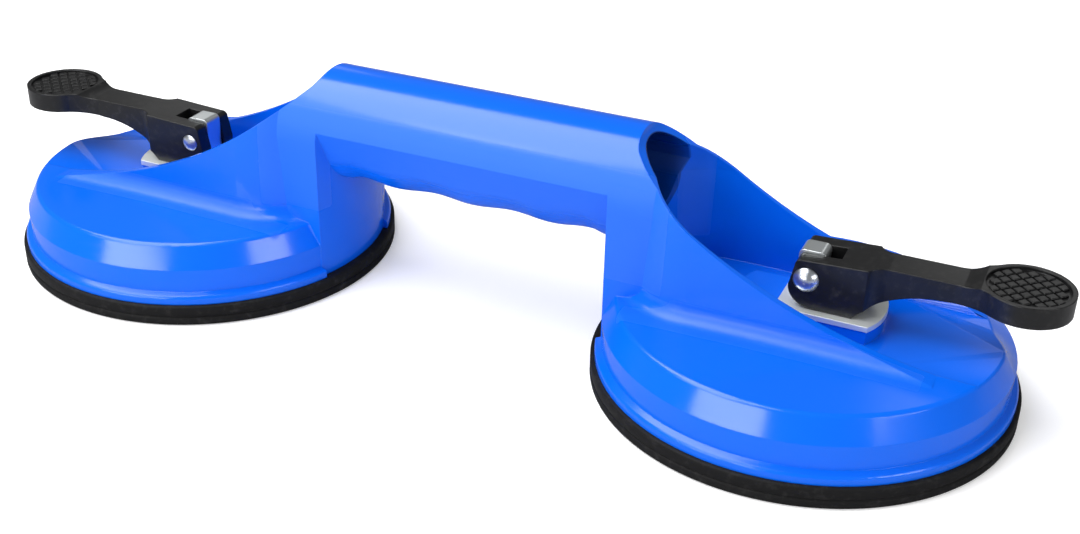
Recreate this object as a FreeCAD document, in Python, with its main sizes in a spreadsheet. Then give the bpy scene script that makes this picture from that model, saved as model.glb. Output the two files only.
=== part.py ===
import FreeCAD, Part
import Sketcher
import math
import os
import re

# Twin-cup suction lifter: one moulded housing with a tubular handle, and at each end a rubber pad
# that a cam lever draws upwards. Origin on the floor midway between the cups, +X along the handle.

document = FreeCAD.newDocument("SuctionLifter")

# driving dimensions, in mm and degrees
dimensions = {
    # cup shell
    "cup_pitch": 189.0,            # between the two cup axes
    "flange_radius": 55.3,
    "flange_base": 6.0,            # height of the ring that presses on the rubber
    "flange_height": 2.3,
    "press_ring_width": 5.0,
    "band_foot_radius": 53.4,      # upright band above the flange
    "band_foot_height": 9.2,
    "crease_radius": 53.6,         # where the band breaks into a cone
    "crease_height": 15.9,
    "band_top_radius": 50.4,
    "deck_height": 22.6,
    "deck_crown": 1.6,             # rise of the deck towards the cup axis
    "shell_wall": 3.0,
    "edge_round": 1.2,
    "bead_round": 0.9,
    # legs and handle
    "leg_radius": 53.8,            # inner face of the leg, concentric with the cup
    "grip_height": 46.6,           # handle axis above the floor
    "grip_radius": 17.5,
    "grip_side_tilt": 21.2,        # degrees that the flat sides lean in towards the belly
    "belly_radius": 14.4,
    "grip_wall": 2.4,
    "finger_pitch": 23.7,
    "finger_depth": 1.55,          # at the low crest in the middle of the handle
    "finger_land": 0.05,
    "finger_axis_rise": 3.6,       # axis of the finger hollows above the handle axis
    "finger_sweep": 132.0,         # degrees that the hollows reach round the handle
    # scoop between the canopy walls
    "scoop_radius": 19.5,
    "canopy_wall": 3.0,
    "canopy_draft": 2.9,           # degrees, outer face
    "scoop_draft": 1.8,            # degrees, inner face
    "crown_lap": 0.5,
    "scoop_center": 26.5,          # centre of the rounded scoop end, inwards of the cup axis
    "scoop_floor": 20.6,
    "rim_start": 47.3,             # top of the sloping canopy rim, inwards of the cup axis
    "rim_shoulder": 45.4,
    "rim_shoulder_drop": 3.4,      # below the top of the handle
    "rim_end": 37.0,               # outer end of the rim, outwards of the cup axis
    "rim_end_height": 22.85,
    "rim_sweep_radius": 150.0,
    "wall_foot_round": 4.0,
    # boss, bearing plate
    "plate_radius": 20.0,
    "plate_flat": 10.0,            # half width over the two flats
    "plate_thick": 1.5,
    "boss_top": 24.4,
    "boss_inset": 0.3,
    # lever, origin at the pivot
    "cam_height": 8.1,             # pivot to the flat underside when locked
    "cam_lift": 3.9,
    "lever_travel": 95.0,          # degrees from locked to released
    "cam_clearance": 0.1,
    "heel_reach": 12.4,
    "fork_width": 15.2,
    "fork_top": 5.3,
    "fork_rear": 2.9,
    "fork_corner": 1.6,
    "fork_reach": 14.6,
    "slot_reach": 7.6,
    "neck_reach": 19.5,
    "neck_width": 9.7,
    "arm_top": 6.3,
    "arm_belly_reach": 34.0,
    "arm_belly": 0.9,              # underside of the arm above the pivot
    "thumb_reach": 52.4,
    "thumb_radius": 11.4,
    "thumb_top": 7.5,
    "thumb_base": 1.9,
    "thumb_rim": 1.3,
    "thumb_recess": 0.9,
    # drawbar, rivet
    "drawbar_thick": 6.2,
    "drawbar_width": 7.0,
    "drawbar_top": 6.1,            # flat end above the pivot
    "drawbar_corner": 1.5,
    "slide_clearance": 0.3,
    "rivet_radius": 2.0,
    "rivet_clearance": 0.05,
    "rivet_head_radius": 3.4,
    "rivet_head_rise": 2.1,
    "rivet_tail_radius": 2.5,
    "rivet_tail_rise": 0.6,
    # rubber pad and the steel disc bonded on it
    "pad_foot_radius": 56.4,
    "seal_width": 5.5,
    "hollow_height": 6.2,
    "hollow_radius": 26.0,
    "rubber_thick": 4.6,
    "disc_radius": 24.0,
    "disc_thick": 2.0,
    "disc_sink": 1.2,
    "tenon_width": 5.0,
    "tenon_thick": 4.0,
}

sheet = document.addObject("Spreadsheet::Sheet", "Sizes")
for row, (alias, value) in enumerate(dimensions.items(), start=1):
    sheet.set(f"A{row}", alias.replace("_", " "))
    sheet.set(f"B{row}", str(value))
    sheet.setAlias(f"B{row}", alias)
document.recompute()


def linked(formula):
    """The formula with every dimension name pointing at its cell."""
    return re.sub(r"\b([a-z]+(?:_[a-z]+)+)\b", r"Sizes.\1", str(formula))


def number(formula):
    """Present value of a formula over the sheet."""
    value = sheet.evalExpression(linked(formula))
    return float(getattr(value, "Value", value))


def bind(item, prop, formula):
    item.setExpression(prop, linked(formula))


def new_body(label):
    body = document.addObject("PartDesign::Body", label)
    body.Label = label
    return body


def origin_plane(body, role):
    return next(item for item in body.Origin.OriginFeatures if item.Role == role)


def new_sketch(body, name, role, offset=(0, 0, 0)):
    """Sketch on an origin plane, moved by formulas in the sketch's own axes."""
    sketch = body.newObject("Sketcher::SketchObject", name)
    sketch.AttachmentSupport = (origin_plane(body, role), [""])
    sketch.MapMode = "FlatFace"
    for axis, formula in zip("xyz", offset):
        if formula != 0:
            bind(sketch, f"AttachmentOffset.Base.{axis}", formula)
    return sketch


def pin_coordinate(sketch, kind, edge, end, formula):
    """Fix one coordinate of an edge's end, or put it on the axis where the formula is zero."""
    if formula == 0:
        axis = -2 if kind == "DistanceX" else -1
        sketch.addConstraint(Sketcher.Constraint("PointOnObject", edge, end, axis))
        return
    index = sketch.addConstraint(Sketcher.Constraint(kind, edge, end, number(formula)))
    bind(sketch, f"Constraints[{index}]", formula)


def arc_between(start, end, radius, turn):
    """Shorter arc from start to end, turning left (1) or right (-1)."""
    chord = end - start
    middle = (start + end) * 0.5
    rise = math.sqrt(max(radius**2 - (chord.Length / 2)**2, 0.0))
    normal = FreeCAD.Vector(-chord.y, chord.x, 0).normalize()
    center = middle + normal * rise * turn
    first, last = (start, end) if turn > 0 else (end, start)
    angles = [math.atan2(point.y - center.y, point.x - center.x) for point in (first, last)]
    return Part.ArcOfCircle(Part.Circle(center, FreeCAD.Vector(0, 0, 1), radius), *angles)


def outline(sketch, corners):
    """Closed outline. A corner is (x, y), or (x, y, radius, turn) where an arc leads to it."""
    points = [FreeCAD.Vector(number(corner[0]), number(corner[1]), 0) for corner in corners]
    ends = []
    for index, corner in enumerate(corners):
        start = points[index - 1]
        if len(corner) == 2:
            edge = sketch.addGeometry(Part.LineSegment(start, points[index]), False)
            ends.append((edge, 1, 2))
            continue
        radius, turn = corner[2:]
        edge = sketch.addGeometry(arc_between(start, points[index], number(radius), turn), False)
        ends.append((edge, 1, 2) if turn > 0 else (edge, 2, 1))
        size = sketch.addConstraint(Sketcher.Constraint("Radius", edge, number(radius)))
        bind(sketch, f"Constraints[{size}]", radius)
    for index, corner in enumerate(corners):
        edge, first, last = ends[index]
        after = ends[(index + 1) % len(ends)]
        sketch.addConstraint(Sketcher.Constraint("Coincident", edge, last, after[0], after[1]))
        pin_coordinate(sketch, "DistanceX", edge, last, corner[0])
        pin_coordinate(sketch, "DistanceY", edge, last, corner[1])


def circle(sketch, radius, x=0, y=0):
    center = FreeCAD.Vector(number(x), number(y), 0)
    edge = sketch.addGeometry(Part.Circle(center, FreeCAD.Vector(0, 0, 1), number(radius)), False)
    size = sketch.addConstraint(Sketcher.Constraint("Radius", edge, number(radius)))
    bind(sketch, f"Constraints[{size}]", radius)
    pin_coordinate(sketch, "DistanceX", edge, 3, x)
    pin_coordinate(sketch, "DistanceY", edge, 3, y)


def extrude(body, kind, name, sketch, length=None, symmetric=False, reverse=False, taper=None):
    """Pad or Pocket of a sketch; without a length a Pocket goes right through."""
    feature = body.newObject(f"PartDesign::{kind}", name)
    feature.Profile = sketch
    feature.Midplane = symmetric
    feature.Reversed = reverse
    if length is None:
        feature.Type = "ThroughAll"
    else:
        bind(feature, "Length", length)
    if taper is not None:
        bind(feature, "TaperAngle", taper)
    sketch.Visibility = False
    return feature


def turn(body, kind, name, sketch, axis="V_Axis", sweep=None):
    """Revolution or Groove of a sketch round one of its own axes, the sweep being centred on it."""
    feature = body.newObject(f"PartDesign::{kind}", name)
    feature.Profile = sketch
    feature.ReferenceAxis = (sketch, [axis])
    feature.Angle = 360
    if sweep is not None:
        feature.Midplane = True
        bind(feature, "Angle", sweep)
    sketch.Visibility = False
    return feature


def primitive(body, kind, name, sizes, place, along=None):
    """Additive or subtractive primitive at a place given by formulas."""
    feature = body.newObject(f"PartDesign::{kind}", name)
    feature.AttachmentSupport = (origin_plane(body, "XY_Plane"), [""])
    feature.MapMode = "FlatFace"
    for prop, formula in sizes.items():
        bind(feature, prop, formula)
    if along:
        feature.AttachmentOffset = FreeCAD.Placement(FreeCAD.Vector(), along)
    for axis, formula in zip("xyz", place):
        if formula != 0:
            bind(feature, f"AttachmentOffset.Base.{axis}", formula)
    return feature


def round_edges(body, name, base, radius, chosen):
    """Fillet on the edges of the base feature that the test picks."""
    document.recompute()
    picked = [f"Edge{i}" for i, edge in enumerate(base.Shape.Edges, start=1) if chosen(edge)]
    fillet = body.newObject("PartDesign::Fillet", name)
    fillet.Base = (base, picked)
    bind(fillet, "Radius", radius)
    return fillet


def is_ring(edge, radius, height):
    """Circle or arc of a given radius at a given height."""
    curve = edge.Curve
    if not isinstance(curve, Part.Circle):
        return False
    return abs(curve.Radius - number(radius)) < 0.01 and abs(curve.Center.z - number(height)) < 0.01


along_x = FreeCAD.Rotation(FreeCAD.Vector(0, 1, 0), 90)


def make_housing():
    """Right half of the blue moulding, mirrored as a whole."""
    body = new_body("housing")
    axis_x = "cup_pitch / 2"
    top = "grip_height + grip_radius"
    outer = "scoop_radius + canopy_wall"

    # leg under the round end of the handle, its inner face following the cup
    arch = new_sketch(body, "leg_section", "YZ_Plane", (0, 0, "cup_pitch / 2 - flange_radius"))
    outline(arch, [
        ("grip_radius", "flange_base"),
        ("grip_radius", "grip_height"),
        (0, top, "grip_radius", 1),
        ("-grip_radius", "grip_height", "grip_radius", 1),
        ("-grip_radius", "flange_base"),
    ])
    extrude(body, "Pad", "leg", arch, "flange_radius - scoop_center")
    face = new_sketch(body, "leg_face_profile", "XZ_Plane", (axis_x, 0, 0))
    outline(face, [
        ("leg_radius", "flange_base"),
        ("2 * leg_radius", "flange_base"),
        ("2 * leg_radius", f"{top} + 1"),
        ("leg_radius", f"{top} + 1"),
    ])
    turn(body, "Groove", "leg_face", face)

    # cup shell, turned about the cup axis
    profile = new_sketch(body, "cup_profile", "XZ_Plane", (axis_x, 0, 0))
    outline(profile, [
        (0, "deck_height + deck_crown"),
        (0, "flange_base"),
        ("flange_radius", "flange_base"),
        ("flange_radius", "flange_base + flange_height"),
        ("band_foot_radius", "band_foot_height"),
        ("crease_radius", "crease_height"),
        ("band_top_radius", "deck_height"),
    ])
    turn(body, "Revolution", "cup_shell", profile)

    # the flange stops at the leg, whose inner face runs down to the rubber
    trim = new_sketch(body, "flange_trim_plan", "XY_Plane", (axis_x, 0, "flange_base"))
    leg_edge = "-sqrt(leg_radius^2 - grip_radius^2)"
    outline(trim, [
        ("-flange_radius - 1", "grip_radius"),
        ("-flange_radius - 1", "-grip_radius"),
        (leg_edge, "-grip_radius"),
        (leg_edge, "grip_radius", "leg_radius", -1),
    ])
    extrude(body, "Pocket", "flange_trim", trim, "band_foot_height - flange_base", reverse=True)
    round_edges(body, "cup_edge", body.Tip, "edge_round",
                lambda edge: is_ring(edge, "band_top_radius", "deck_height"))
    round_edges(body, "flange_bead", body.Tip, "bead_round",
                lambda edge: is_ring(edge, "flange_radius", "flange_base + flange_height"))

    # canopy walls round the scoop, closed at the handle end by a half round
    wall_plan = new_sketch(body, "canopy_plan", "XY_Plane", (axis_x, 0, "scoop_floor"))
    outline(wall_plan, [
        ("rim_end", outer),
        ("-scoop_center", outer),
        (f"-scoop_center - ({outer})", 0, outer, 1),
        ("-scoop_center", f"-({outer})", outer, 1),
        ("rim_end", f"-({outer})"),
    ])
    canopy = extrude(body, "Pad", "canopy", wall_plan, "grip_height - scoop_floor + crown_lap",
                     taper="-canopy_draft")

    # soft blend where the canopy walls meet the deck
    def at_wall_foot(edge):
        low = number("deck_height") - 0.5
        high = number("deck_height + deck_crown") + 0.5
        side = number(outer)
        box = edge.BoundBox
        return low < box.ZMin and box.ZMax < high and abs(abs(box.YMax) - side) < 0.5 \
            and box.XLength > number("scoop_center")
    document.recompute()
    round_edges(body, "canopy_foot", canopy, "wall_foot_round", at_wall_foot)

    # handle: round top, flat sides that lean in, rounded belly
    section = new_sketch(body, "grip_section", "YZ_Plane")
    grip_outline(section, "grip_radius", "belly_radius")
    extrude(body, "Pad", "grip", section, "cup_pitch / 2 - scoop_center")

    # finger hollows round the underside, deepest near the middle of the handle
    waves = new_sketch(body, "finger_profile", "XZ_Plane", (0, "grip_height + finger_axis_rise", 0))
    crest = "(belly_radius + finger_axis_rise + finger_land)"
    outline(waves, [
        (-1, f"-1 - {crest}"),
        ("cup_pitch / 2 - leg_radius", f"-1 - {crest}"),
        ("cup_pitch / 2 - leg_radius", f"-{crest}"),
        ("finger_pitch", f"-{crest}", "3 * finger_pitch", 1),
        (0, f"finger_depth - {crest}", "3 * finger_pitch", 1),
    ][1:])
    turn(body, "Groove", "finger_hollows", waves, axis="H_Axis", sweep="finger_sweep")

    # crown that closes the canopy round the end of the handle
    crown = f"(({outer} - (grip_height - scoop_floor) * tan(canopy_draft)) * cos(canopy_draft))"
    primitive(body, "AdditiveSphere", "canopy_crown", {"Radius": crown, "Angle1": "0"},
              ("cup_pitch / 2 - scoop_center", 0, "grip_height"))

    # scoop: rounded end, then a floor that runs out at the cup edge
    upper = "(grip_height - deck_height - deck_crown)"
    vault = f"((scoop_radius + {upper} * tan(scoop_draft)) * cos(scoop_draft))"
    primitive(body, "SubtractiveSphere", "scoop_crown", {"Radius": vault, "Angle1": "0"},
              ("cup_pitch / 2 - scoop_center", 0, "grip_height"))
    primitive(body, "SubtractiveCylinder", "scoop_end",
              {"Radius": "scoop_radius", "Height": "grip_height - scoop_floor"},
              ("cup_pitch / 2 - scoop_center", 0, "scoop_floor"))
    well = new_sketch(body, "scoop_plan", "XY_Plane", (axis_x, 0, "deck_height + deck_crown"))
    outline(well, [
        ("flange_radius", "scoop_radius"),
        ("-scoop_center", "scoop_radius"),
        ("-scoop_center - scoop_radius", 0, "scoop_radius", 1),
        ("-scoop_center", "-scoop_radius", "scoop_radius", 1),
        ("flange_radius", "-scoop_radius"),
    ])
    extrude(body, "Pocket", "scoop_walls", well, f"{upper} + crown_lap", reverse=True,
            taper="scoop_draft")
    floor = new_sketch(body, "scoop_profile", "XZ_Plane", (axis_x, 0, 0))
    outline(floor, [
        ("-scoop_center", "scoop_floor"),
        ("plate_radius", "scoop_floor"),
        ("band_top_radius", "deck_height"),
        ("flange_radius", "deck_height"),
        ("flange_radius", top),
        ("-scoop_center", top),
    ])
    extrude(body, "Pocket", "scoop", floor, "2 * scoop_radius", symmetric=True)

    # everything above the sloping rim is open
    rim = new_sketch(body, "rim_profile", "XZ_Plane", (axis_x, 0, 0))
    outline(rim, [
        ("-rim_start", f"{top} + canopy_wall + 2"),
        ("-rim_start", top),
        ("-rim_shoulder", f"{top} - rim_shoulder_drop", "rim_shoulder_drop * 2", 1),
        ("rim_end", "rim_end_height", "rim_sweep_radius", 1),
        ("flange_radius", "rim_end_height + 1"),
        ("flange_radius", f"{top} + canopy_wall + 2"),
    ])
    extrude(body, "Pocket", "canopy_rim", rim, f"4 * ({outer})", symmetric=True)

    # the handle is open from scoop to scoop, with an even wall
    bore = new_sketch(body, "grip_bore_section", "YZ_Plane")
    grip_outline(bore, "grip_radius - grip_wall", "belly_radius - grip_wall")
    extrude(body, "Pocket", "grip_bore", bore, "cup_pitch / 2 - scoop_center", reverse=True)

    # boss with two flats under the bearing plate, and the slot for the drawbar
    boss = new_sketch(body, "boss_plan", "XY_Plane", (axis_x, 0, "scoop_floor - shell_wall"))
    double_d(boss, "plate_radius - boss_inset", "plate_flat - boss_inset")
    extrude(body, "Pad", "boss", boss, "boss_top - scoop_floor + shell_wall")
    hollow = new_sketch(body, "cup_hollow_profile", "XZ_Plane", (axis_x, 0, 0))
    outline(hollow, [
        (0, "scoop_floor - shell_wall"),
        (0, "flange_base - 1"),
        ("flange_radius - press_ring_width", "flange_base - 1"),
        ("crease_radius - shell_wall", "crease_height"),
        ("band_top_radius - shell_wall", "deck_height - shell_wall"),
    ])
    turn(body, "Groove", "cup_hollow", hollow)
    slot = new_sketch(body, "drawbar_slot_plan", "XY_Plane", (axis_x, 0, 0))
    rectangle(slot, "drawbar_width / 2 + slide_clearance", "drawbar_thick / 2 + slide_clearance")
    extrude(body, "Pocket", "drawbar_slot", slot, "boss_top + 1", reverse=True)

    document.recompute()
    whole = body.newObject("PartDesign::Mirrored", "both_ends")
    whole.TransformMode = "Whole shape"
    whole.MirrorPlane = (origin_plane(body, "YZ_Plane"), [""])
    whole.Refine = False
    body.Tip = whole
    return body


def grip_outline(sketch, radius, belly):
    """Handle section: an upper and a lower circle about the handle axis, joined by flat sides."""
    crease = f"(acos(({belly}) / ({radius})) - grip_side_tilt * 1 deg)"
    crease_y = f"({radius}) * cos({crease})"
    crease_z = f"grip_height + ({radius}) * sin({crease})"
    touch_y = f"({belly}) * cos(grip_side_tilt * 1 deg)"
    touch_z = f"grip_height - ({belly}) * sin(grip_side_tilt * 1 deg)"
    outline(sketch, [
        (crease_y, crease_z),
        (0, f"grip_height + {radius}", radius, 1),
        (f"-{crease_y}", crease_z, radius, 1),
        (f"-{touch_y}", touch_z),
        (0, f"grip_height - ({belly})", belly, 1),
        (touch_y, touch_z, belly, 1),
    ])


def double_d(sketch, radius, flat):
    """Disc outline with two flats along x."""
    half = f"sqrt(({radius})^2 - ({flat})^2)"
    outline(sketch, [
        (half, flat, radius, 1),
        (f"-{half}", flat),
        (f"-{half}", f"-({flat})", radius, 1),
        (half, f"-({flat})"),
    ])


def rectangle(sketch, half_x, half_y):
    outline(sketch, [
        (half_x, half_y),
        (f"-({half_x})", half_y),
        (f"-({half_x})", f"-({half_y})"),
        (half_x, f"-({half_y})"),
    ])


def place(body, side, height):
    """Stand a part that was built about its own axis on one cup; the left one is turned round."""
    if side == "left":
        body.Placement = FreeCAD.Placement(FreeCAD.Vector(), FreeCAD.Rotation(180, 0, 0))
    bind(body, "Placement.Base.x", "cup_pitch / 2" if side == "right" else "-cup_pitch / 2")
    if height != 0:
        bind(body, "Placement.Base.z", height)
    return body


pivot_height = "(boss_top + plate_thick + cam_clearance + cam_height)"
disc_top = "(hollow_height + rubber_thick - disc_sink + disc_thick)"


def make_bearing_plate(side):
    """Steel plate with two flats that the cam cheeks press on."""
    body = new_body(f"{side}_bearing_plate")
    plan = new_sketch(body, f"{side}_plate_plan", "XY_Plane")
    double_d(plan, "plate_radius", "plate_flat")
    extrude(body, "Pad", f"{side}_plate", plan, "plate_thick")
    slot = new_sketch(body, f"{side}_plate_slot_plan", "XY_Plane")
    rectangle(slot, "drawbar_width / 2 + slide_clearance", "drawbar_thick / 2 + slide_clearance")
    extrude(body, "Pocket", f"{side}_plate_slot", slot, "2 * plate_thick", symmetric=True)
    return place(body, side, "boss_top")


def make_suction_pad(side):
    """Rubber cup: upright rim under the flange, domed middle with a seat for the steel disc."""
    body = new_body(f"{side}_suction_pad")
    profile = new_sketch(body, f"{side}_pad_profile", "XZ_Plane")
    outline(profile, [
        (0, "hollow_height"),
        ("hollow_radius", "hollow_height"),
        ("pad_foot_radius - seal_width", 0),
        ("pad_foot_radius", 0),
        ("pad_foot_radius", "flange_base"),
        ("flange_radius - press_ring_width", "flange_base"),
        ("flange_radius - press_ring_width - 4", "flange_base - 1.4"),
        ("disc_radius + 2.5", "hollow_height + rubber_thick"),
        ("disc_radius", "hollow_height + rubber_thick"),
        ("disc_radius", "hollow_height + rubber_thick - disc_sink"),
        (0, "hollow_height + rubber_thick - disc_sink"),
    ])
    turn(body, "Revolution", f"{side}_pad", profile)
    return place(body, side, 0)


def make_pad_disc(side):
    """Steel disc bonded on the rubber, with a hole for the drawbar's tenon."""
    body = new_body(f"{side}_pad_disc")
    plan = new_sketch(body, f"{side}_disc_plan", "XY_Plane")
    circle(plan, "disc_radius")
    extrude(body, "Pad", f"{side}_disc", plan, "disc_thick")
    hole = new_sketch(body, f"{side}_tenon_hole_plan", "XY_Plane")
    rectangle(hole, "tenon_width / 2", "tenon_thick / 2")
    extrude(body, "Pocket", f"{side}_tenon_hole", hole, "2 * disc_thick", symmetric=True)
    return place(body, side, f"{disc_top} - disc_thick")


def make_drawbar(side):
    """Flat bar with an eye near its square top, riveted into the pad disc by its tenon."""
    body = new_body(f"{side}_drawbar")
    rise = f"({pivot_height} - {disc_top})"
    half = "drawbar_width / 2"
    profile = new_sketch(body, f"{side}_drawbar_profile", "XZ_Plane")
    shoulder = "drawbar_top - drawbar_corner"
    outline(profile, [
        (half, f"-{rise}"),
        (half, shoulder),
        (f"{half} - drawbar_corner", "drawbar_top", "drawbar_corner", 1),
        (f"drawbar_corner - {half}", "drawbar_top"),
        (f"-{half}", shoulder, "drawbar_corner", 1),
        (f"-{half}", f"-{rise}"),
    ])
    extrude(body, "Pad", f"{side}_bar", profile, "drawbar_thick", symmetric=True)
    tenon = new_sketch(body, f"{side}_tenon_plan", "XY_Plane", (0, 0, f"-{rise}"))
    rectangle(tenon, "tenon_width / 2", "tenon_thick / 2")
    extrude(body, "Pad", f"{side}_tenon", tenon, "disc_thick", reverse=True)
    eye = new_sketch(body, f"{side}_eye_plan", "XZ_Plane")
    circle(eye, "rivet_radius + rivet_clearance")
    extrude(body, "Pocket", f"{side}_eye", eye, "2 * drawbar_thick", symmetric=True)
    return place(body, side, pivot_height)


def make_rivet(side):
    """Domed rivet through the fork, with a set tail; turned about the pivot."""
    body = new_body(f"{side}_lever_rivet")
    cheek = "fork_width / 2"
    dome = "((rivet_head_radius^2 + rivet_head_rise^2) / (2 * rivet_head_rise))"
    tail = "((rivet_tail_radius^2 + rivet_tail_rise^2) / (2 * rivet_tail_rise))"
    profile = new_sketch(body, f"{side}_rivet_profile", "XY_Plane")
    outline(profile, [
        (0, f"-{cheek} - rivet_head_rise"),
        ("rivet_head_radius", f"-{cheek}", dome, 1),
        ("rivet_radius", f"-{cheek}"),
        ("rivet_radius", cheek),
        ("rivet_tail_radius", cheek),
        (0, f"{cheek} + rivet_tail_rise", tail, 1),
    ])
    turn(body, "Revolution", f"{side}_rivet", profile)
    return place(body, side, pivot_height)


def make_lever(side):
    """Cam lever about its pivot: fork with two cam cheeks, waisted arm and round thumb pad."""
    body = new_body(f"{side}_lever")
    travel = number("lever_travel")
    lift = "(cam_lift / lever_travel * 180 / pi)"

    # side profile; the cheek falls away evenly with the turn, so the support shrinks linearly
    side_view = new_sketch(body, f"{side}_lever_side", "XZ_Plane")

    def cam_point(part_of_travel):
        angle = f"({part_of_travel} * lever_travel * 1 deg)"
        support = f"(cam_height - cam_lift * {part_of_travel})"
        return (f"{lift} * cos({angle}) - {support} * sin({angle})",
                f"-{support} * cos({angle}) - {lift} * sin({angle})")

    steps = 4
    cam = [cam_point(0)]
    for step in range(1, steps + 1):
        radius = f"(cam_height - cam_lift * {(step - 0.5) / steps})"
        cam.append((*cam_point(step / steps), radius, -1))
    end_x, end_z = cam_point(1)
    lean = f"((fork_rear + {end_x}) / (fork_top - ({end_z})))"
    outline(side_view, cam + [
        (f"-fork_rear + fork_corner * {lean}", "fork_top - fork_corner"),
        ("fork_corner - fork_rear", "fork_top", "fork_corner", -1),
        ("neck_reach", "arm_top"),
        ("thumb_reach - thumb_radius - 3", "arm_top"),
        ("thumb_reach - thumb_radius + 1", "thumb_top", "thumb_radius", 1),
        ("thumb_reach + thumb_radius + 1", "thumb_top"),
        ("thumb_reach + thumb_radius + 1", "thumb_base"),
        ("thumb_reach - thumb_radius + 5", "thumb_base"),
        ("arm_belly_reach", "arm_belly"),
        ("heel_reach + 2", "-cam_height + 2", "1.5 * (arm_belly_reach - heel_reach)", 1),
        ("heel_reach", "-cam_height"),
    ])
    blank = extrude(body, "Pad", f"{side}_lever_blank", side_view, "2 * thumb_radius + 4",
                    symmetric=True)

    # plan: the fork narrows to the arm, which runs into the thumb pad
    plan = new_sketch(body, f"{side}_lever_plan", "XY_Plane")
    half = "fork_width / 2"
    neck = "neck_width / 2"
    join_x = "thumb_reach - sqrt(thumb_radius^2 - (0.72 * thumb_radius)^2)"
    join_y = "0.72 * thumb_radius"
    upper = [
        (f"{join_x}", join_y, "thumb_radius", 1),
        ("arm_belly_reach + 2", neck, "thumb_radius * 1.6", -1),
        ("neck_reach", neck),
        ("fork_reach + 0.6", half, "neck_reach - fork_reach", -1),
        ("-cam_height - 2", half),
    ]
    lower = [
        ("-cam_height - 2", f"-{half}"),
        ("fork_reach + 0.6", f"-{half}"),
        ("neck_reach", f"-{neck}", "neck_reach - fork_reach", -1),
        ("arm_belly_reach + 2", f"-{neck}"),
        (f"{join_x}", f"-{join_y}", "thumb_radius * 1.6", -1),
        ("thumb_reach + thumb_radius", 0, "thumb_radius", 1),
    ]
    outline(plan, upper + lower)
    bound = "thumb_reach + 2 * thumb_radius"
    outline(plan, [
        (bound, "2 * thumb_radius"),
        (f"-({bound})", "2 * thumb_radius"),
        (f"-({bound})", "-2 * thumb_radius"),
        (bound, "-2 * thumb_radius"),
    ])
    trimmed = extrude(body, "Pocket", f"{side}_lever_trim", plan, "4 * cam_height", symmetric=True)

    # slot for the drawbar, pivot hole, recess in the thumb pad
    slot = new_sketch(body, f"{side}_fork_slot_plan", "XY_Plane")
    outline(slot, [
        ("slot_reach", "drawbar_thick / 2 + slide_clearance"),
        ("-2 * cam_height", "drawbar_thick / 2 + slide_clearance"),
        ("-2 * cam_height", "-(drawbar_thick / 2 + slide_clearance)"),
        ("slot_reach", "-(drawbar_thick / 2 + slide_clearance)"),
    ])
    extrude(body, "Pocket", f"{side}_fork_slot", slot, "4 * cam_height", symmetric=True)
    hole = new_sketch(body, f"{side}_pivot_plan", "XZ_Plane")
    circle(hole, "rivet_radius")
    extrude(body, "Pocket", f"{side}_pivot_hole", hole, "2 * fork_width", symmetric=True)
    dish = new_sketch(body, f"{side}_thumb_plan", "XY_Plane", (0, 0, "thumb_top"))
    circle(dish, "thumb_radius - thumb_rim", "thumb_reach")
    extrude(body, "Pocket", f"{side}_thumb_dish", dish, "thumb_recess")
    return place(body, side, pivot_height)


parts = [make_housing()]
for side in ("right", "left"):
    parts.append(make_suction_pad(side))
    parts.append(make_pad_disc(side))
    parts.append(make_drawbar(side))
    parts.append(make_bearing_plate(side))
    parts.append(make_lever(side))
    parts.append(make_rivet(side))
document.recompute()

for item in document.Objects:
    if "Invalid" in item.State or "Error" in item.State:
        raise RuntimeError(f"{item.Label}: {item.getStatusString()}")
for part in parts:
    if part.Shape.isNull() or not part.Shape.isValid() or len(part.Shape.Solids) != 1:
        raise RuntimeError(f"{part.Label} has no single valid solid")

os.makedirs("parts", exist_ok=True)
for part in parts:
    part.Shape.exportStep(f"parts/{part.Label}.step")
    print(part.Label, round(part.Shape.Volume))
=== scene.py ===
import math

import bmesh
import bpy
from mathutils import Matrix, Vector


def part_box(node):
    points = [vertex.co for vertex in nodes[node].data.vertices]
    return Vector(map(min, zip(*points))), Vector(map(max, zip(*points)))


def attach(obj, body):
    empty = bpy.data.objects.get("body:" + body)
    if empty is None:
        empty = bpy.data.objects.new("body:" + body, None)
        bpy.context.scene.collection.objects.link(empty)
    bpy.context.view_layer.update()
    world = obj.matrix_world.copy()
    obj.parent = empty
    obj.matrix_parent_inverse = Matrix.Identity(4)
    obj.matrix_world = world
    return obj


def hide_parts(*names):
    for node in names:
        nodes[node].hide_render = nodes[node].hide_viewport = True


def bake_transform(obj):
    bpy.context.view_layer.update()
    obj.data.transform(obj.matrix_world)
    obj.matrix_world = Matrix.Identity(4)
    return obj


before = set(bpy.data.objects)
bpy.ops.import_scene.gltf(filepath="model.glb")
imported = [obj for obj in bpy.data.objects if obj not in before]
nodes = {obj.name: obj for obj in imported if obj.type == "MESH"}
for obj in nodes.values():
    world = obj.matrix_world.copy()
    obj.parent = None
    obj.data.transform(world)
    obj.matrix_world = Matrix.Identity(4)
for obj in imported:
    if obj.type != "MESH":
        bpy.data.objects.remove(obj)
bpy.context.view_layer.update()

# Twin-cup tile lifter. Lengths are in metres, +X runs along the handle, the pads stand on z = 0.
mm = 0.001
sides = {"right": 1, "left": -1}


def middle(name):
    low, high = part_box(name)
    return (low + high) / 2


cupAxis = {side: middle(f"{side}_bearing_plate").x for side in sides}
print("frame loaded, cup axes at", {side: round(x, 4) for side, x in cupAxis.items()})


# where the camera stands and how it is turned, in degrees and metres
cameraSettings = {
    "azimuth": 23.891,
    "elevation": 28.472,
    "roll": 1.302,
    "place": (0.16229, -0.32658, 0.20914),
    "lens": 48.024,
}


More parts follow.
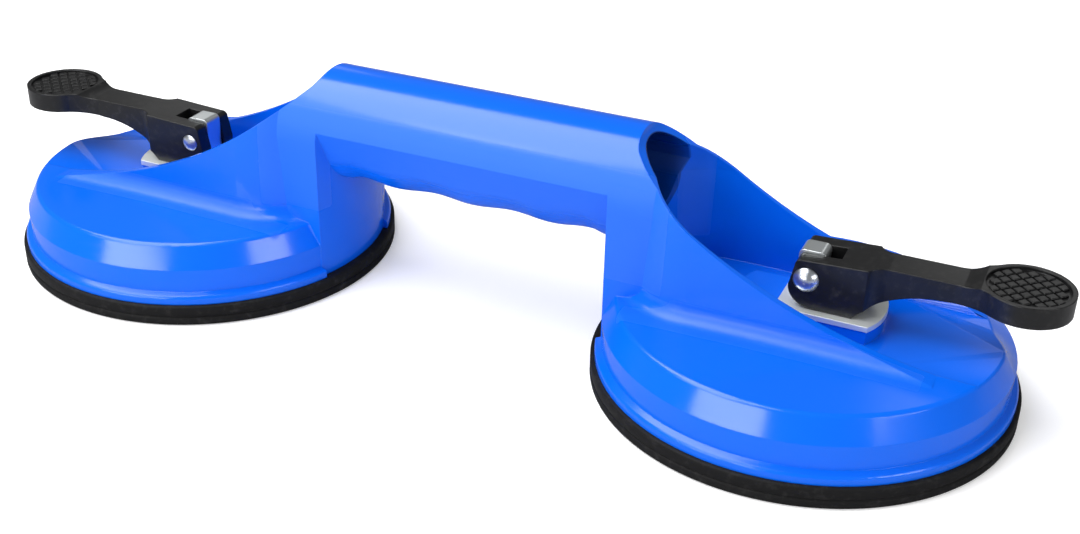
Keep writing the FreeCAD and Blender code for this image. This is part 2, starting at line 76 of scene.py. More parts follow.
def addCamera(settings):
    azimuth, elevation, roll = (math.radians(settings[key]) for key in ("azimuth", "elevation", "roll"))
    back = Vector((math.sin(azimuth) * math.cos(elevation),
                   -math.cos(azimuth) * math.cos(elevation),
                   math.sin(elevation)))
    right = Vector((math.cos(azimuth), math.sin(azimuth), 0))
    up = back.cross(right)
    tiltedRight = right * math.cos(roll) + up * math.sin(roll)
    tiltedUp = up * math.cos(roll) - right * math.sin(roll)
    turned = Matrix((tiltedRight, tiltedUp, back)).transposed()
    data = bpy.data.cameras.new("camera")
    data.lens = settings["lens"]
    data.sensor_width = 36
    data.clip_start = 0.01
    camera = bpy.data.objects.new("camera", data)
    camera.matrix_world = Matrix.Translation(settings["place"]) @ turned.to_4x4()
    bpy.context.scene.collection.objects.link(camera)
    bpy.context.scene.camera = camera


addCamera(cameraSettings)


# soft boxes round the part, a pale world and a floor that takes the shadow
lightSettings = {
    "worldStrength": 0.36,
    "glossyStrength": 0.12,
    "boxes": {
        # name: (place, aimed at, width, height, radiance)
        "frontBox": ((-0.27, -0.87, 0.275), (0.0, 0.0, 0.02), 0.66, 0.17, 8.0),
        "highFrontBox": ((-0.44, -0.76, 0.71), (0.0, 0.0, 0.05), 1.00, 0.42, 2.6),
        "overheadBox": ((-0.42, -0.18, 1.04), (0.0, 0.0, 0.05), 1.10, 0.72, 5.6),
        "rightBox": ((0.84, -0.33, 0.34), (0.0, 0.0, 0.03), 0.42, 0.22, 7.0),
        "rearBox": ((0.11, 0.95, 0.55), (0.10, 0.0, 0.03), 0.20, 0.40, 0.9),
        "rearLeftBox": ((-0.66, 0.80, 0.42), (-0.10, 0.0, 0.03), 0.20, 0.30, 0.7),
    },
}


def addSoftBox(name, place, target, width, height, radiance):
    data = bpy.data.lights.new(name, "AREA")
    data.shape = "RECTANGLE"
    data.size, data.size_y = width, height
    data.energy = radiance * math.pi * width * height
    lamp = bpy.data.objects.new(name, data)
    lamp.location = place
    lamp.rotation_mode = "QUATERNION"
    lamp.rotation_quaternion = (Vector(target) - Vector(place)).to_track_quat("-Z", "Y")
    bpy.context.scene.collection.objects.link(lamp)


def mixColour(tree, factor, first, second):
    mix = tree.nodes.new("ShaderNodeMix")
    mix.data_type = "RGBA"
    for name, value in (("Factor", factor), ("A", first), ("B", second)):
        if hasattr(value, "links"):
            tree.links.new(value, mix.inputs[name])
        else:
            mix.inputs[name].default_value = value
    return mix.outputs["Result"]


def mathNode(tree, operation, first, second=0.0, clamp=False):
    node = tree.nodes.new("ShaderNodeMath")
    node.operation = operation
    node.use_clamp = clamp
    for index, value in enumerate((first, second)):
        if isinstance(value, (int, float)):
            node.inputs[index].default_value = value
        else:
            tree.links.new(value, node.inputs[index])
    return node.outputs[0]


def rampNode(tree, value, start, end, low=0.0, high=1.0, soft=True):
    ramp = tree.nodes.new("ShaderNodeMapRange")
    ramp.interpolation_type = "SMOOTHSTEP" if soft else "LINEAR"
    for name, number in (("From Min", start), ("From Max", end), ("To Min", low), ("To Max", high)):
        ramp.inputs[name].default_value = number
    tree.links.new(value, ramp.inputs["Value"])
    return ramp.outputs["Result"]


def productOf(tree, *values):
    total = values[0]
    for value in values[1:]:
        total = mathNode(tree, "MULTIPLY", total, value)
    return total


def distanceOf(tree, first, second):
    squares = [mathNode(tree, "MULTIPLY", value, value) for value in (first, second)]
    return mathNode(tree, "SQRT", mathNode(tree, "ADD", *squares))


def seenRays(tree):
    path = tree.nodes.new("ShaderNodeLightPath")
    return mathNode(tree, "MAXIMUM", path.outputs["Is Camera Ray"], path.outputs["Is Transmission Ray"])


def addWorld(settings):
    world = bpy.data.worlds.new("studio")
    bpy.context.scene.world = world
    world.use_nodes = True
    tree = world.node_tree
    background = tree.nodes["Background"]
    path = tree.nodes.new("ShaderNodeLightPath")
    level = tree.nodes.new("ShaderNodeMapRange")
    level.inputs["To Min"].default_value = settings["worldStrength"]
    level.inputs["To Max"].default_value = settings["glossyStrength"]
    tree.links.new(path.outputs["Is Glossy Ray"], level.inputs["Value"])
    seen = tree.nodes.new("ShaderNodeMapRange")
    seen.inputs["To Max"].default_value = 1.0
    tree.links.new(path.outputs["Is Camera Ray"], seen.inputs["Value"])
    tree.links.new(level.outputs["Result"], seen.inputs["To Min"])
    tree.links.new(seen.outputs["Result"], background.inputs["Strength"])
    background.inputs["Color"].default_value = (1.0, 1.0, 1.0, 1.0)


floorSettings = {
    "reach": 6.0, "drop": 0.0002, "roughness": 0.9, "glow": 0.32,
    "colour": (0.86, 0.86, 0.87, 1), "mirroredColour": (0.34, 0.34, 0.35, 1),
}


def addFloor(settings):
    mesh = bpy.data.meshes.new("floor")
    reach = settings["reach"]
    mesh.from_pydata([(-reach, -reach, 0), (reach, -reach, 0), (reach, reach, 0), (-reach, reach, 0)],
                     [], [(0, 1, 2, 3)])
    floor = bpy.data.objects.new("floor", mesh)
    floor.location.z = -settings["drop"]
    bpy.context.scene.collection.objects.link(floor)
    paint = bpy.data.materials.new("paleFloor")
    paint.use_nodes = True
    tree = paint.node_tree
    shader = tree.nodes["Principled BSDF"]
    path = tree.nodes.new("ShaderNodeLightPath")
    colour = mixColour(tree, path.outputs["Is Glossy Ray"], settings["colour"], settings["mirroredColour"])
    tree.links.new(colour, shader.inputs["Base Color"])
    shader.inputs["Roughness"].default_value = settings["roughness"]
    shader.inputs["Specular IOR Level"].default_value = 0.0
    shader.inputs["Emission Color"].default_value = (1, 1, 1, 1)
    glow = mathNode(tree, "MULTIPLY", seenRays(tree), settings["glow"])
    tree.links.new(glow, shader.inputs["Emission Strength"])
    floor.data.materials.append(paint)


scene = bpy.context.scene
scene.view_settings.view_transform = "Standard"
addWorld(lightSettings)
for boxName, values in lightSettings["boxes"].items():
    addSoftBox(boxName, *values)
addFloor(floorSettings)
print("camera, lights and floor ready")


# surface effects that several materials share
def newGroup(name, inputs, outputs):
    group = bpy.data.node_groups.new(name, "ShaderNodeTree")
    for socketName, kind, value in inputs:
        socket = group.interface.new_socket(socketName, in_out="INPUT", socket_type=kind)
        if value is not None:
            socket.default_value = value
    for socketName, kind in outputs:
        group.interface.new_socket(socketName, in_out="OUTPUT", socket_type=kind)
    return group, group.nodes.new("NodeGroupInput"), group.nodes.new("NodeGroupOutput")


def noiseAt(tree, place, scale, detail=3.0, rough=0.5):
    noise = tree.nodes.new("ShaderNodeTexNoise")
    noise.inputs["Detail"].default_value = detail
    noise.inputs["Roughness"].default_value = rough
    tree.links.new(place, noise.inputs["Vector"])
    if isinstance(scale, (int, float)):
        noise.inputs["Scale"].default_value = scale
    else:
        tree.links.new(scale, noise.inputs["Scale"])
    return noise.outputs["Fac"]


# slow drift of colour and gloss, with the fine skin that a mould leaves
def makeMouldSkin():
    group, given, result = newGroup(
        "mouldSkin",
        [("Colour", "NodeSocketColor", (0.5, 0.5, 0.5, 1)),
         ("Deep Colour", "NodeSocketColor", (0.4, 0.4, 0.4, 1)),
         ("Drift Scale", "NodeSocketFloat", 30.0), ("Grain Scale", "NodeSocketFloat", 1500.0),
         ("Gloss Low", "NodeSocketFloat", 0.2), ("Gloss High", "NodeSocketFloat", 0.3)],
        [("Colour", "NodeSocketColor"), ("Roughness", "NodeSocketFloat"), ("Height", "NodeSocketFloat")])
    place = group.nodes.new("ShaderNodeTexCoord").outputs["Object"]
    drift = noiseAt(group, place, given.outputs["Drift Scale"], 2.0)
    grain = noiseAt(group, place, given.outputs["Grain Scale"], 4.0, 0.6)
    colour = mixColour(group, drift, given.outputs["Colour"], given.outputs["Deep Colour"])
    patch = noiseAt(group, place, 90.0, 5.0, 0.65)
    spread = mathNode(group, "SUBTRACT", given.outputs["Gloss High"], given.outputs["Gloss Low"])
    gloss = mathNode(group, "ADD", given.outputs["Gloss Low"], mathNode(group, "MULTIPLY", spread, patch))
    group.links.new(colour, result.inputs["Colour"])
    group.links.new(gloss, result.inputs["Roughness"])
    group.links.new(grain, result.inputs["Height"])
    return group


# hairline rub marks in all directions, as a mask
def makeRubMarks():
    group, given, result = newGroup(
        "rubMarks",
        [("Scale", "NodeSocketFloat", 60.0), ("Amount", "NodeSocketFloat", 0.5)],
        [("Mask", "NodeSocketFloat")])
    place = group.nodes.new("ShaderNodeTexCoord").outputs["Object"]
    total = None
    for tilt in (0.35, 1.25, 2.3):
        stretch = group.nodes.new("ShaderNodeMapping")
        stretch.inputs["Rotation"].default_value = (tilt * 0.4, tilt * 0.3, tilt)
        stretch.inputs["Scale"].default_value = (1.0, 28.0, 9.0)
        group.links.new(place, stretch.inputs["Vector"])
        streak = noiseAt(group, stretch.outputs["Vector"], given.outputs["Scale"], 1.0)
        sharp = mathNode(group, "MULTIPLY", mathNode(group, "SUBTRACT", streak, 0.66), 9.0, clamp=True)
        total = sharp if total is None else mathNode(group, "MAXIMUM", total, sharp)
    group.links.new(mathNode(group, "MULTIPLY", total, given.outputs["Amount"]), result.inputs["Mask"])
    return group


# pale dust in scattered specks and soft clouds
def makeSettledDust():
    group, given, result = newGroup(
        "settledDust",
        [("Colour", "NodeSocketColor", (0.5, 0.5, 0.5, 1)),
         ("Dust Colour", "NodeSocketColor", (0.6, 0.6, 0.6, 1)),
         ("Amount", "NodeSocketFloat", 0.1), ("Scale", "NodeSocketFloat", 500.0)],
        [("Colour", "NodeSocketColor"), ("Mask", "NodeSocketFloat")])
    place = group.nodes.new("ShaderNodeTexCoord").outputs["Object"]
    speck = noiseAt(group, place, given.outputs["Scale"], 6.0, 0.7)
    specks = mathNode(group, "MULTIPLY", mathNode(group, "SUBTRACT", speck, 0.52), 5.0, clamp=True)
    cloud = noiseAt(group, place, 45.0, 3.0)
    share = mathNode(group, "MULTIPLY", specks, cloud)
    mask = mathNode(group, "MULTIPLY", share, given.outputs["Amount"], clamp=True)
    group.links.new(mixColour(group, mask, given.outputs["Colour"], given.outputs["Dust Colour"]),
                    result.inputs["Colour"])
    group.links.new(mask, result.inputs["Mask"])
    return group


mouldSkin = makeMouldSkin()
rubMarks = makeRubMarks()
settledDust = makeSettledDust()


def placeGroup(tree, group, values):
    node = tree.nodes.new("ShaderNodeGroup")
    node.node_tree = group
    for name, value in values.items():
        if hasattr(value, "links"):
            tree.links.new(value, node.inputs[name])
        else:
            node.inputs[name].default_value = value
    return node


def bumpFrom(tree, height, strength, distance, edge=0.0):
    bump = tree.nodes.new("ShaderNodeBump")
    if edge:
        rounded = tree.nodes.new("ShaderNodeBevel")
        rounded.samples = 6
        rounded.inputs["Radius"].default_value = edge * mm
        tree.links.new(rounded.outputs["Normal"], bump.inputs["Normal"])
    bump.inputs["Strength"].default_value = strength
    bump.inputs["Distance"].default_value = distance
    tree.links.new(height, bump.inputs["Height"])
    return bump.outputs["Normal"]


finishes = {
    "bluePlastic": {
        "Colour": (0.0008, 0.124, 0.78, 1), "Deep Colour": (0.0006, 0.114, 0.74, 1),
        "Drift Scale": 14.0, "Grain Scale": 700.0, "Gloss Low": 0.13, "Gloss High": 0.19, "specular": 0.45,
        "bump": 0.05, "bumpDepth": 0.00006, "dust": 0.0, "rub": 0.05,
        "satin": ("canopyFoot", "gripSides"), "edge": 0.35, "bore": True,
    },
    "blackPlastic": {
        "Colour": (0.0072, 0.0074, 0.0078, 1), "Deep Colour": (0.0055, 0.0057, 0.0062, 1),
        "Drift Scale": 40.0, "Grain Scale": 1800.0, "Gloss Low": 0.27, "Gloss High": 0.38, "specular": 0.45,
        "bump": 0.16, "bumpDepth": 0.00008, "dust": 0.10, "rub": 0.06,
        "satin": (), "edge": 0.45, "bore": False,
    },
    "blackRubber": {
        "Colour": (0.0080, 0.0078, 0.0082, 1), "Deep Colour": (0.0060, 0.0060, 0.0066, 1),
        "Drift Scale": 30.0, "Grain Scale": 2400.0, "Gloss Low": 0.52, "Gloss High": 0.66, "specular": 0.16,
        "bump": 0.22, "bumpDepth": 0.0001, "dust": 0.10, "rub": 0.0, "satin": (), "edge": 0.0, "bore": False,
    },
}


# zones with a satin skin, in millimetres: across the handle, height, and along it from the middle
satinZones = {
    "canopyFoot": {"across": (22.4, 28.0), "height": (21.8, 27.2), "along": (52.0, 128.0), "gain": 0.22},
    "gripSides": {"across": (13.6, 20.0), "height": (28.0, 56.0), "along": (-1.0, 60.0), "gain": 0.38},
}


def zoneMask(tree, zone, soft=1.5):
    place = tree.nodes.new("ShaderNodeSeparateXYZ")
    tree.links.new(tree.nodes.new("ShaderNodeTexCoord").outputs["Object"], place.inputs[0])
    values = {"across": mathNode(tree, "ABSOLUTE", place.outputs["Y"]), "height": place.outputs["Z"],
              "along": mathNode(tree, "ABSOLUTE", place.outputs["X"])}
    mask = None
    for key, value in values.items():
        low, high = zone[key]
        for start, end, first, last in ((low - soft, low, 0.0, 1.0), (high, high + soft, 1.0, 0.0)):
            ramp = rampNode(tree, value, start * mm, end * mm, first, last)
            mask = ramp if mask is None else mathNode(tree, "MULTIPLY", mask, ramp)
    return mask


# the long bore sees little light, so painted shade darkens its colour inside these radii of the handle axis
boreShade = {
    "axisHeight": 46.6, "lowRadius": 13.4, "highRadius": 15.5, "crownRise": 4.5,
    "reach": 62.0, "endFade": 14.0, "keep": 0.30,
}


def boreShadeMask(tree, size):
    place = tree.nodes.new("ShaderNodeSeparateXYZ")
    tree.links.new(tree.nodes.new("ShaderNodeTexCoord").outputs["Object"], place.inputs[0])
    rise = mathNode(tree, "SUBTRACT", place.outputs["Z"], size["axisHeight"] * mm)
    away = distanceOf(tree, rise, place.outputs["Y"])
    limit = rampNode(tree, rise, 0.0, size["crownRise"] * mm, size["lowRadius"] * mm, size["highRadius"] * mm,
                     soft=False)
    inside = rampNode(tree, mathNode(tree, "SUBTRACT", limit, away), 0.0, 0.3 * mm)
    along = mathNode(tree, "ABSOLUTE", place.outputs["X"])
    middlePart = rampNode(tree, along, (size["reach"] - size["endFade"]) * mm, size["reach"] * mm, 1.0, 0.0)
    return mathNode(tree, "MULTIPLY", inside, middlePart)


def mouldedMaterial(name, finish):
    material = bpy.data.materials.new(name)
    material.use_nodes = True
    tree = material.node_tree
    shader = tree.nodes["Principled BSDF"]
    shader.inputs["Specular IOR Level"].default_value = finish["specular"]
    skinInputs = {key: value for key, value in finish.items() if key[0].isupper()}
    skin = placeGroup(tree, mouldSkin, skinInputs)
    dust = placeGroup(tree, settledDust, {"Colour": skin.outputs["Colour"], "Amount": finish["dust"],
                                          "Dust Colour": (0.32, 0.31, 0.30, 1), "Scale": 420.0})
    marks = placeGroup(tree, rubMarks, {"Scale": 55.0, "Amount": finish["rub"]})
    rough = mathNode(tree, "ADD", skin.outputs["Roughness"], marks.outputs["Mask"])
    for zone in finish["satin"]:
        extra = mathNode(tree, "MULTIPLY", zoneMask(tree, satinZones[zone]), satinZones[zone]["gain"])
        rough = mathNode(tree, "ADD", rough, extra)
    colour = dust.outputs["Colour"]
    # painted shade: inside the bore the colour falls to a fraction of the deep colour
    if finish["bore"]:
        boreShadeColour = [channel * boreShade["keep"] for channel in finish["Deep Colour"][:3]] + [1]
        colour = mixColour(tree, boreShadeMask(tree, boreShade), colour, boreShadeColour)
    tree.links.new(colour, shader.inputs["Base Color"])
    tree.links.new(mathNode(tree, "ADD", rough, dust.outputs["Mask"], clamp=True), shader.inputs["Roughness"])
    grain = bumpFrom(tree, skin.outputs["Height"], finish["bump"], finish["bumpDepth"], finish["edge"])
    tree.links.new(grain, shader.inputs["Normal"])
    return material


steelFinishes = {
    "zincSteel": {
        "colour": (0.90, 0.94, 0.92, 1), "shade": (0.80, 0.84, 0.84, 1),
        "low": 0.30, "high": 0.44, "metal": 0.6,
    },
    "barSteel": {
        "colour": (0.84, 0.88, 0.88, 1), "shade": (0.70, 0.75, 0.78, 1),
        "low": 0.24, "high": 0.36, "metal": 0.9,
    },
    "rivetSteel": {
        "colour": (0.76, 0.80, 0.86, 1), "shade": (0.58, 0.63, 0.70, 1),
        "low": 0.22, "high": 0.34, "metal": 0.95,
    },
}


# zinc plate: fine rolled lines along the strip, soft clouds of duller plating
def platedMaterial(name, finish):
    material = bpy.data.materials.new(name)
    material.use_nodes = True
    tree = material.node_tree
    shader = tree.nodes["Principled BSDF"]
    place = tree.nodes.new("ShaderNodeTexCoord").outputs["Object"]
    stretch = tree.nodes.new("ShaderNodeMapping")
    stretch.inputs["Scale"].default_value = (0.06, 1.0, 1.0)
    tree.links.new(place, stretch.inputs["Vector"])
    lines = noiseAt(tree, stretch.outputs["Vector"], 2600.0, 3.0)
    clouds = noiseAt(tree, place, 190.0, 4.0, 0.6)
    marks = placeGroup(tree, rubMarks, {"Scale": 120.0, "Amount": 0.5})
    tree.links.new(mixColour(tree, clouds, finish["colour"], finish["shade"]), shader.inputs["Base Color"])
    shader.inputs["Metallic"].default_value = finish["metal"]
    span = finish["high"] - finish["low"]
    rough = mathNode(tree, "ADD", mathNode(tree, "MULTIPLY", clouds, span), finish["low"])
    tree.links.new(mathNode(tree, "ADD", rough, mathNode(tree, "MULTIPLY", marks.outputs["Mask"], 0.15)),
                   shader.inputs["Roughness"])
    tree.links.new(bumpFrom(tree, lines, 0.12, 0.00004, 0.3), shader.inputs["Normal"])
    return material


materials = {name: mouldedMaterial(name, finish) for name, finish in finishes.items()}
materials.update({name: platedMaterial(name, finish) for name, finish in steelFinishes.items()})


def dress(item, materialName):
    item.data.materials.clear()
    item.data.materials.append(materials[materialName])


dress(nodes["housing"], "bluePlastic")
for side in sides:
    dress(nodes[f"{side}_lever"], "blackPlastic")
    dress(nodes[f"{side}_suction_pad"], "blackRubber")
    dress(nodes[f"{side}_lever_rivet"], "rivetSteel")
    dress(nodes[f"{side}_bearing_plate"], "zincSteel")
    for drawnPart in ("drawbar", "pad_disc"):
        dress(nodes[f"{side}_{drawnPart}"], "barSteel")
print("materials on the frame")


def addPiece(name, mesh, materialName, smooth=True):
    item = bpy.data.objects.new(name, mesh)
    bpy.context.scene.collection.objects.link(item)
    for face in mesh.polygons:
        face.use_smooth = smooth
    dress(item, materialName)
    return item


def turnedMesh(name, profile, axisX, steps=160):
    shape = bmesh.new()
    rings = []
    for radius, height in profile:
        if radius < 1e-7:
            rings.append([shape.verts.new((axisX, 0, height))] * steps)
            continue
        rings.append([shape.verts.new((axisX + radius * math.cos(2 * math.pi * step / steps),
                                       radius * math.sin(2 * math.pi * step / steps), height))
                      for step in range(steps)])
    closed = profile[0][0] > 1e-7
    pairs = list(zip(rings, rings[1:])) + ([(rings[-1], rings[0])] if closed else [])
    for lower, upper in pairs:
        for step in range(steps):
            after = (step + 1) % steps
            corners = []
            for corner in (lower[step], lower[after], upper[after], upper[step]):
                if corner not in corners:
                    corners.append(corner)
            if len(corners) > 2:
                shape.faces.new(corners)
    bmesh.ops.recalc_face_normals(shape, faces=shape.faces)
    mesh = bpy.data.meshes.new(name)
    shape.to_mesh(mesh)
    shape.free()
    return mesh


# a modifier's node group, with the x, y and z of the points that it is given
def newShaper(name):
    group = bpy.data.node_groups.new(name, "GeometryNodeTree")
    group.interface.new_socket("Geometry", in_out="INPUT", socket_type="NodeSocketGeometry")
    group.interface.new_socket("Geometry", in_out="OUTPUT", socket_type="NodeSocketGeometry")
    given, result = group.nodes.new("NodeGroupInput"), group.nodes.new("NodeGroupOutput")
    place = group.nodes.new("ShaderNodeSeparateXYZ")
    group.links.new(group.nodes.new("GeometryNodeInputPosition").outputs[0], place.inputs[0])
    return group, given.outputs[0], result.inputs[0], place.outputs


def movePoints(tree, shape, newPlace):
    joined = tree.nodes.new("ShaderNodeCombineXYZ")
    for socket, value in zip(joined.inputs, newPlace):
        tree.links.new(value, socket)
    mover = tree.nodes.new("GeometryNodeSetPosition")
    tree.links.new(shape, mover.inputs["Geometry"])
    tree.links.new(joined.outputs[0], mover.inputs["Position"])
    return mover.outputs[0]


def mmRamp(tree, value, limits, low=0.0, high=1.0, soft=True):
    return rampNode(tree, value, limits[0] * mm, limits[1] * mm, low, high, soft)


# The rear half of each deck falls to its edge in a low cone. The drop grows outward from the bearing
# plate, and stays off the leg and the canopy walls, so those meet the deck as before.
deckFall = {
    "creaseHeight": 15.9, "edgeHeight": 22.6, "edgeInset": 3.7, "edgeDrop": 2.1,
    "dropRadii": (28.0, 46.0), "insetRadii": (34.0, 50.0), "canopyHeights": (26.0, 36.0),
    "wallHalfWidths": (25.0, 37.0), "wallReach": (33.0, 46.0), "rearReach": (-4.0, 16.0),
}


def addDeckFall(item, size, axisX):
    group, given, result, (x, y, z) = newShaper("deckFall")
    outward = mathNode(group, "SUBTRACT", mathNode(group, "ABSOLUTE", x), axisX)
    radius = distanceOf(group, outward, y)
    climb = mmRamp(group, z, (size["creaseHeight"], size["edgeHeight"]), soft=False)
    fade = mmRamp(group, z, size["canopyHeights"], 1.0, 0.0)
    beside = mmRamp(group, mathNode(group, "ABSOLUTE", y), size["wallHalfWidths"])
    past = mmRamp(group, outward, size["wallReach"])
    rear = mmRamp(group, y, size["rearReach"])
    share = productOf(group, climb, fade, rear, mathNode(group, "MAXIMUM", beside, past))
    inset = productOf(group, share, mmRamp(group, radius, size["insetRadii"]), size["edgeInset"] * mm)
    drop = productOf(group, share, mmRamp(group, radius, size["dropRadii"]), size["edgeDrop"] * mm)
    scale = mathNode(group, "DIVIDE", mathNode(group, "SUBTRACT", radius, inset),
                     mathNode(group, "MAXIMUM", radius, mm))
    newOutward = mathNode(group, "ADD", mathNode(group, "MULTIPLY", outward, scale), axisX)
    newPlace = (mathNode(group, "MULTIPLY", mathNode(group, "SIGN", x), newOutward),
                mathNode(group, "MULTIPLY", y, scale), mathNode(group, "SUBTRACT", z, drop))
    group.links.new(movePoints(group, given, newPlace), result)
    item.modifiers.new("deckFall", "NODES").node_group = group


addDeckFall(nodes["housing"], deckFall, cupAxis["right"])


# shallow finger waves round the belly of the handle, deepest underneath
fingerWave = {
    "axisHeight": 46.6, "bellyRadius": 14.4, "pitch": 23.7, "depth": 0.9, "reach": 40.5, "endFade": 5.0,
    "sideHeight": 44.5, "lowHeight": 36.0, "skinBelow": 0.9, "skinAbove": 0.3, "levels": 4,
}


def addFingerWave(item, size):
    group, given, result, (x, y, z) = newShaper("fingerWave")
    along = mathNode(group, "ABSOLUTE", x)
    rise = mathNode(group, "SUBTRACT", z, size["axisHeight"] * mm)
    away = distanceOf(group, rise, y)
    chosen = productOf(group, mathNode(group, "LESS_THAN", along, size["reach"] * mm),
                       mathNode(group, "GREATER_THAN", away, (size["bellyRadius"] - size["skinBelow"]) * mm),
                       mathNode(group, "LESS_THAN", away, (size["bellyRadius"] + size["skinAbove"]) * mm),
                       mathNode(group, "LESS_THAN", z, size["sideHeight"] * mm))
    split = group.nodes.new("GeometryNodeSeparateGeometry")
    split.domain = "FACE"
    group.links.new(given, split.inputs["Geometry"])
    group.links.new(chosen, split.inputs["Selection"])
    plain = group.nodes.new("GeometryNodeRemoveAttribute")
    plain.inputs["Name"].default_value = "custom_normal"
    group.links.new(split.outputs["Selection"], plain.inputs["Geometry"])
    fine = group.nodes.new("GeometryNodeSubdivideMesh")
    fine.inputs["Level"].default_value = size["levels"]
    group.links.new(plain.outputs[0], fine.inputs["Mesh"])
    turns = mathNode(group, "MULTIPLY", x, 2 * math.pi / (size["pitch"] * mm))
    crest = mathNode(group, "SUBTRACT", 1.0, mathNode(group, "COSINE", turns))
    depth = productOf(group, mathNode(group, "MULTIPLY", crest, 0.5), size["depth"] * mm,
                      mmRamp(group, along, (size["reach"] - size["endFade"], size["reach"]), 1.0, 0.0),
                      mmRamp(group, z, (size["lowHeight"], size["sideHeight"]), 1.0, 0.0))
    scale = mathNode(group, "DIVIDE", mathNode(group, "SUBTRACT", away, depth),
                     mathNode(group, "MAXIMUM", away, mm))
    newZ = mathNode(group, "ADD", mathNode(group, "MULTIPLY", rise, scale), size["axisHeight"] * mm)
    smooth = group.nodes.new("GeometryNodeSetShadeSmooth")
    moved = movePoints(group, fine.outputs[0], (x, mathNode(group, "MULTIPLY", y, scale), newZ))
    group.links.new(moved, smooth.inputs["Geometry"])
    whole = group.nodes.new("GeometryNodeJoinGeometry")
    group.links.new(smooth.outputs[0], whole.inputs[0])
    group.links.new(split.outputs["Inverted"], whole.inputs[0])
    group.links.new(whole.outputs[0], result)
    item.modifiers.new("fingerWave", "NODES").node_group = group


addFingerWave(nodes["housing"], fingerWave)


# the plate ends square just inside the lever's heel, on the side towards the handle
plateShape = {"innerReach": 7.0}


def addPlateEnd(item, size, axisX):
    group, given, result, (x, y, z) = newShaper(f"{item.name}End")
    outward = mathNode(group, "MAXIMUM", mathNode(group, "ABSOLUTE", x), axisX - size["innerReach"] * mm)
    newX = mathNode(group, "MULTIPLY", mathNode(group, "SIGN", x), outward)
    group.links.new(movePoints(group, given, (newX, y, z)), result)
    item.modifiers.new("plateEnd", "NODES").node_group = group


for side in sides:
    addPlateEnd(nodes[f"{side}_bearing_plate"], plateShape, cupAxis["right"])
print("deck and plates shaped")


# rubber pads: a rolled rim that stays on the tile, and a separate middle piece
padShape = {
    "sealInner": 50.9, "footRadius": 56.4, "top": 5.98, "grooveHeight": 2.6, "grooveDepth": 0.4,
    "ribCount": 3, "ribDepth": 0.35, "middleRadius": 26.0, "hollowHeight": 6.2,
    "seatHeight": 9.6, "discRadius": 24.1, "shoulderHeight": 10.8, "valleyRadius": 46.3, "valleyHeight": 4.6,
}


def padRimProfile(size):
    ribPitch = (size["footRadius"] - size["sealInner"] - 1.2) / size["ribCount"]
    points = [(size["sealInner"], 0.5), (size["sealInner"] + 0.3, 0.12)]
    for rib in range(size["ribCount"]):
        start = size["sealInner"] + 0.5 + rib * ribPitch
        points += [(start, 0.0), (start + ribPitch * 0.62, 0.0), (start + ribPitch * 0.74, size["ribDepth"]),
                   (start + ribPitch * 0.88, size["ribDepth"])]
    foot, top, groove = size["footRadius"], size["top"], size["grooveHeight"]
    cut = foot - size["grooveDepth"]
    points += [(foot - 0.8, 0.0), (foot - 0.35, 0.1), (foot - 0.08, 0.4), (foot, 0.8),
               (foot, groove - 0.42), (foot - 0.1, groove - 0.28), (cut, groove - 0.16), (cut, groove + 0.16),
               (foot - 0.1, groove + 0.28), (foot, groove + 0.42), (foot, top - 0.6),
               (foot - 0.12, top - 0.22), (foot - 0.5, top), (size["sealInner"] + 0.3, top),
               (size["sealInner"], top - 0.3)]
    return [(radius * mm, height * mm) for radius, height in points]


def padMiddleProfile(size):
    edge = size["sealInner"] + 0.25
    rise, run = size["hollowHeight"], edge - size["middleRadius"]
    under = []
    for step in range(13):
        part = step / 12
        soft = part * part * (3 - 2 * part) * 0.35 + part * 0.65
        under.append((edge - run * part, 0.12 + (rise - 0.12) * soft))
    disc, shoulder = size["discRadius"], size["shoulderHeight"]
    above = [(disc, size["seatHeight"]), (disc + 0.1, shoulder - 0.3), (disc + 0.4, shoulder),
             (disc + 2.3, shoulder), (disc + 3.6, shoulder - 0.25)]
    start, end = disc + 3.6, size["valleyRadius"]
    for step in range(1, 10):
        part = step / 9
        drop = shoulder - 0.25 - size["valleyHeight"]
        above.append((start + (end - start) * part, shoulder - 0.25 - drop * part))
    above += [(end + 1.2, size["valleyHeight"] + 0.1), (end + 3.0, size["valleyHeight"] + 0.9),
              (edge - 0.5, size["top"] - 0.25), (edge, size["top"] - 0.4)]
    points = [(0.0, size["seatHeight"])] + above + under + [(0.0, size["hollowHeight"])]
    return [(radius * mm, height * mm) for radius, height in points]


for side in sides:
    rim = addPiece(f"{side}_pad_rim", turnedMesh(f"{side}_pad_rim", padRimProfile(padShape), cupAxis[side]),
                   "blackRubber")
    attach(rim, "root")
    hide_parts(f"{side}_suction_pad")
    middleMesh = turnedMesh(f"{side}_pad_middle", padMiddleProfile(padShape), cupAxis[side])
    centre = addPiece(f"{side}_pad_middle", middleMesh, "blackRubber")
    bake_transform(centre)
    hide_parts(f"{side}_suction_pad")
print("rubber pads ready")


# thumb pads: square lands between grooves that cross at 45 degrees
thumbShape = {
    "pitch": 2.75, "land": 2.2, "height": 0.6, "chamfer": 0.18,
    "rim": 1.4, "radius": 11.4, "recess": 0.9,
}


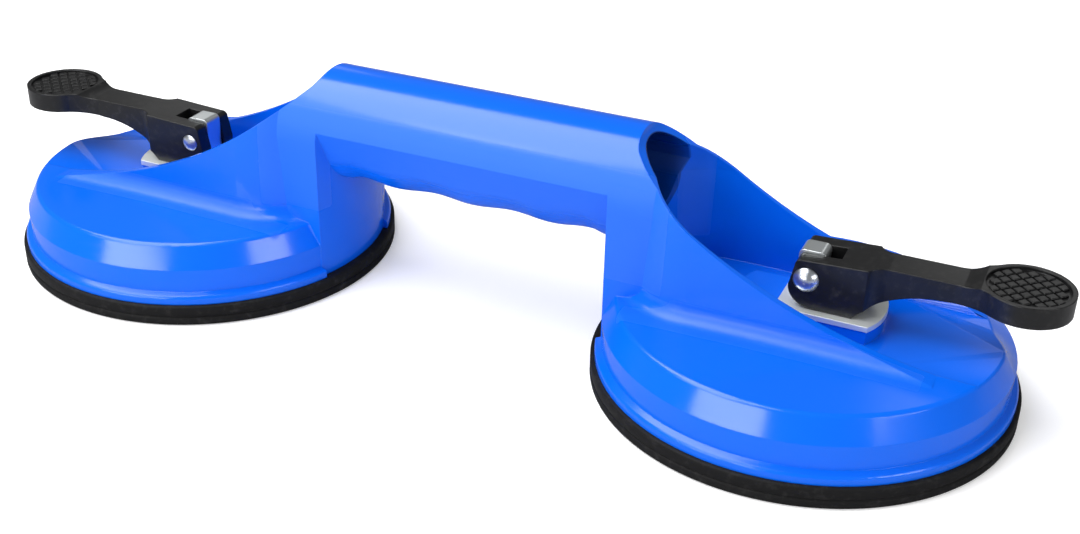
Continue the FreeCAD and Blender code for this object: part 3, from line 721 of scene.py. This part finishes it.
def clipToCircle(corners, radius, steps=64):
    for step in range(steps):
        normal = Vector((math.cos(2 * math.pi * step / steps), math.sin(2 * math.pi * step / steps)))
        kept = []
        for index, corner in enumerate(corners):
            before = corners[index - 1]
            insideNow, insideBefore = corner.dot(normal) <= radius, before.dot(normal) <= radius
            if insideNow != insideBefore:
                share = (radius - before.dot(normal)) / (corner - before).dot(normal)
                kept.append(before + (corner - before) * share)
            if insideNow:
                kept.append(corner)
        corners = kept
        if len(corners) < 3:
            return []
    return corners


def thumbLandsMesh(name, size, place):
    shape = bmesh.new()
    reach = size["radius"] - size["rim"] - 0.35
    count = int(reach / size["pitch"]) + 2
    half = size["land"] / 2
    diagonal = Matrix.Rotation(math.radians(45), 2)
    for row in range(-count, count + 1):
        for column in range(-count, count + 1):
            square = [diagonal @ Vector((column * size["pitch"] + dx * half, row * size["pitch"] + dy * half))
                      for dx, dy in ((-1, -1), (1, -1), (1, 1), (-1, 1))]
            land = clipToCircle(square, reach)
            if not land:
                continue
            heart = sum(land, Vector((0, 0))) / len(land)
            spread = min((corner - heart).length for corner in land)
            if spread < 0.45:
                continue
            levels = [(0.0, -0.05), (0.0, size["height"] - size["chamfer"]),
                      (size["chamfer"], size["height"])]
            rings = []
            for inset, height in levels:
                ring = []
                for corner in land:
                    shrink = 1 - inset / max((corner - heart).length, inset * 2)
                    point = heart + (corner - heart) * shrink
                    ring.append(shape.verts.new((place.x + point.x * mm, place.y + point.y * mm,
                                                 place.z + height * mm)))
                rings.append(ring)
            for lower, upper in zip(rings, rings[1:]):
                for index in range(len(lower)):
                    shape.faces.new((lower[index - 1], lower[index], upper[index], upper[index - 1]))
            shape.faces.new(rings[-1])
            shape.faces.new(list(reversed(rings[0])))
    bmesh.ops.recalc_face_normals(shape, faces=shape.faces)
    mesh = bpy.data.meshes.new(name)
    shape.to_mesh(mesh)
    shape.free()
    return mesh


for side, sign in sides.items():
    low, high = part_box(f"{side}_lever")
    thumbX = high.x - thumbShape["radius"] * mm if sign > 0 else low.x + thumbShape["radius"] * mm
    place = Vector((thumbX, (low.y + high.y) / 2, high.z - thumbShape["recess"] * mm))
    lands = addPiece(f"{side}_thumb_grip", thumbLandsMesh(f"{side}_thumb_grip", thumbShape, place),
                     "blackPlastic", smooth=False)
    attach(lands, f"{side}_lever_arm")
print("thumb grips ready")
